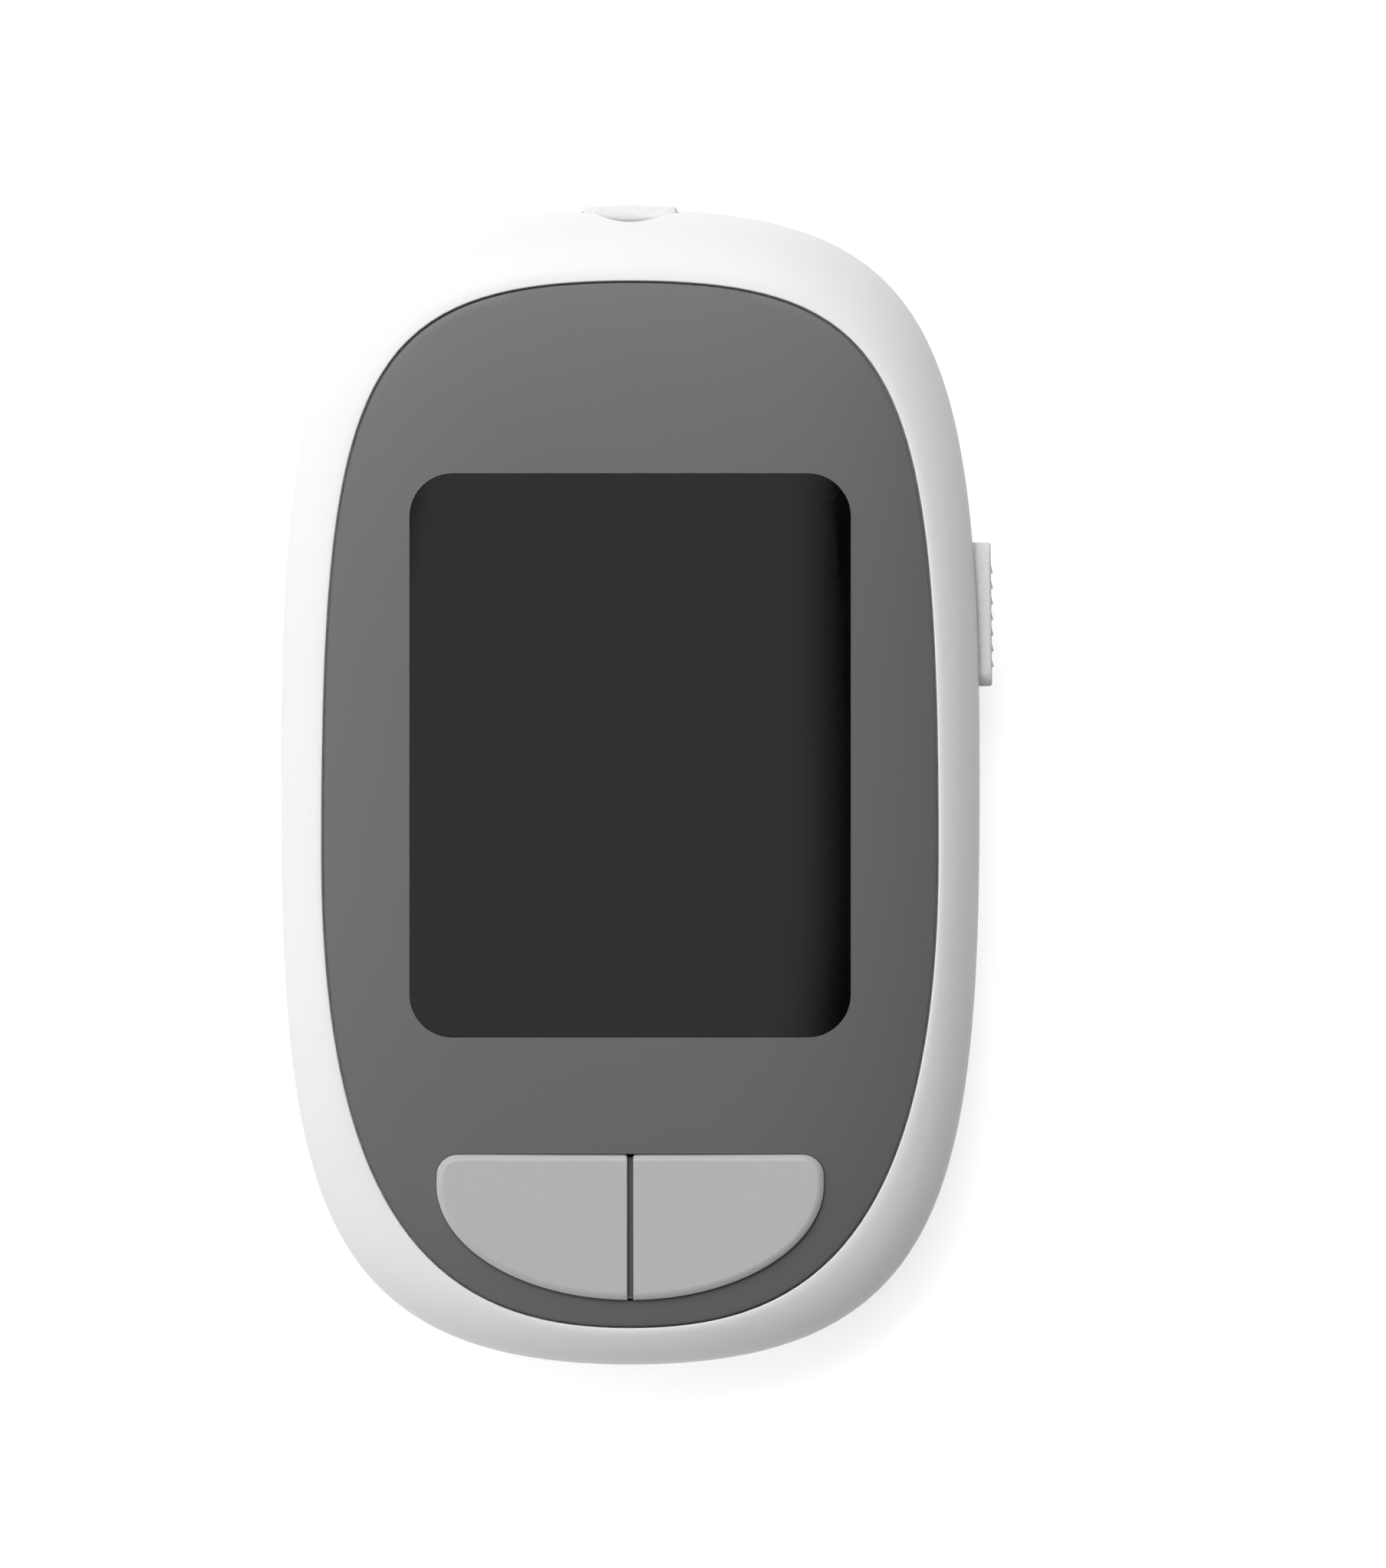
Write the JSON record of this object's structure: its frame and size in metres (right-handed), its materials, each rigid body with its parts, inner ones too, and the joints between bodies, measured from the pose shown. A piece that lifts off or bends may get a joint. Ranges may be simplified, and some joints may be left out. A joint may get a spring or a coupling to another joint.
{
  "type": "blood glucose meter",
  "caption": "Egg-shaped handheld blood glucose meter with a domed face plate, a display window, push buttons, a strip port and a side ejector slider.",
  "frame": {"origin": "on the flat back, at the middle of the case's width and length", "axes": "+Z out of the face, +Y towards the end with the strip port, +X towards the ejector slider's side"},
  "size_m": [0.053, 0.0862, 0.0155],
  "materials": {
    "case_white": "moulded ABS, satin gloss",
    "plate_grey": "satin moulded plate",
    "window_black": "polished tinted acrylic",
    "key_grey": "smooth moulded keys",
    "grained_grey": "spark-eroded grain",
    "foam_black": "closed-cell foam",
    "lcd_glass": "polished with polariser film",
    "holder_white": "moulded",
    "guide_clear": "polished clear acrylic with white dots",
    "led_white": "moulded lens",
    "zebra_rubber": "silicone with carbon layers",
    "board_green": "glass epoxy with solder mask",
    "chip_black": "moulded epoxy",
    "parts_tan": "fired chips with tinned ends",
    "steel": "nickel-plated",
    "gold_contact": "gold-plated",
    "socket_ivory": "moulded",
    "carrier_grey": "moulded",
    "label_film": "blank satin film"
  },
  "bodies": {
    "housing": {"rear_case": "case_white", "front_case": "case_white", "face_plate": "plate_grey", "display_lens": "window_black", "lens_gasket": "foam_black", "lcd_panel": "lcd_glass", "lcd_holder": "holder_white", "light_guide": "guide_clear", "backlight_leds": "led_white", "zebra_connector": "zebra_rubber", "main_board": "board_green", "processor_chip": "chip_black", "memory_chip": "chip_black", "crystal_can": "steel", "board_parts": "parts_tan", "buzzer": "chip_black", "button_carrier": "carrier_grey", "left_dome": "steel", "right_dome": "steel", "strip_port_insert": "grained_grey", "strip_connector": "socket_ivory", "strip_contacts": "gold_contact", "ejector_spring": "steel", "left_cell": "steel", "right_cell": "steel", "positive_contacts": "gold_contact", "negative_contacts": "gold_contact", "case_screws": "steel", "rear_label": "label_film"},
    "left_button": {"left_button": "key_grey"},
    "right_button": {"right_button": "key_grey"},
    "ejector": {"ejector_slider": "grained_grey", "ejector_arm": "steel"},
    "battery_door": {"battery_door": "case_white"}
  },
  "joints": [
    {"name": "left_button_press", "type": "slide", "parent": "housing", "child": "left_button", "axis": [0, 0, -1], "range_m": [0, 0.0005], "stiffness_N_per_m": 1500, "springref_m": -0.0005, "deforming": ["left_dome"]},
    {"name": "right_button_press", "type": "slide", "parent": "housing", "child": "right_button", "axis": [0, 0, -1], "range_m": [0, 0.0005], "stiffness_N_per_m": 1500, "springref_m": -0.0005, "deforming": ["right_dome"]},
    {"name": "ejector_slide", "type": "slide", "parent": "housing", "child": "ejector", "axis": [0, 1, 0], "range_m": [0, 0.005], "stiffness_N_per_m": 150, "springref_m": -0.003, "deforming": ["ejector_spring"]},
    {"name": "battery_door_slide", "type": "slide", "parent": "housing", "child": "battery_door", "axis": [0, -1, 0], "range_m": [0, 0.026]}
  ]
}
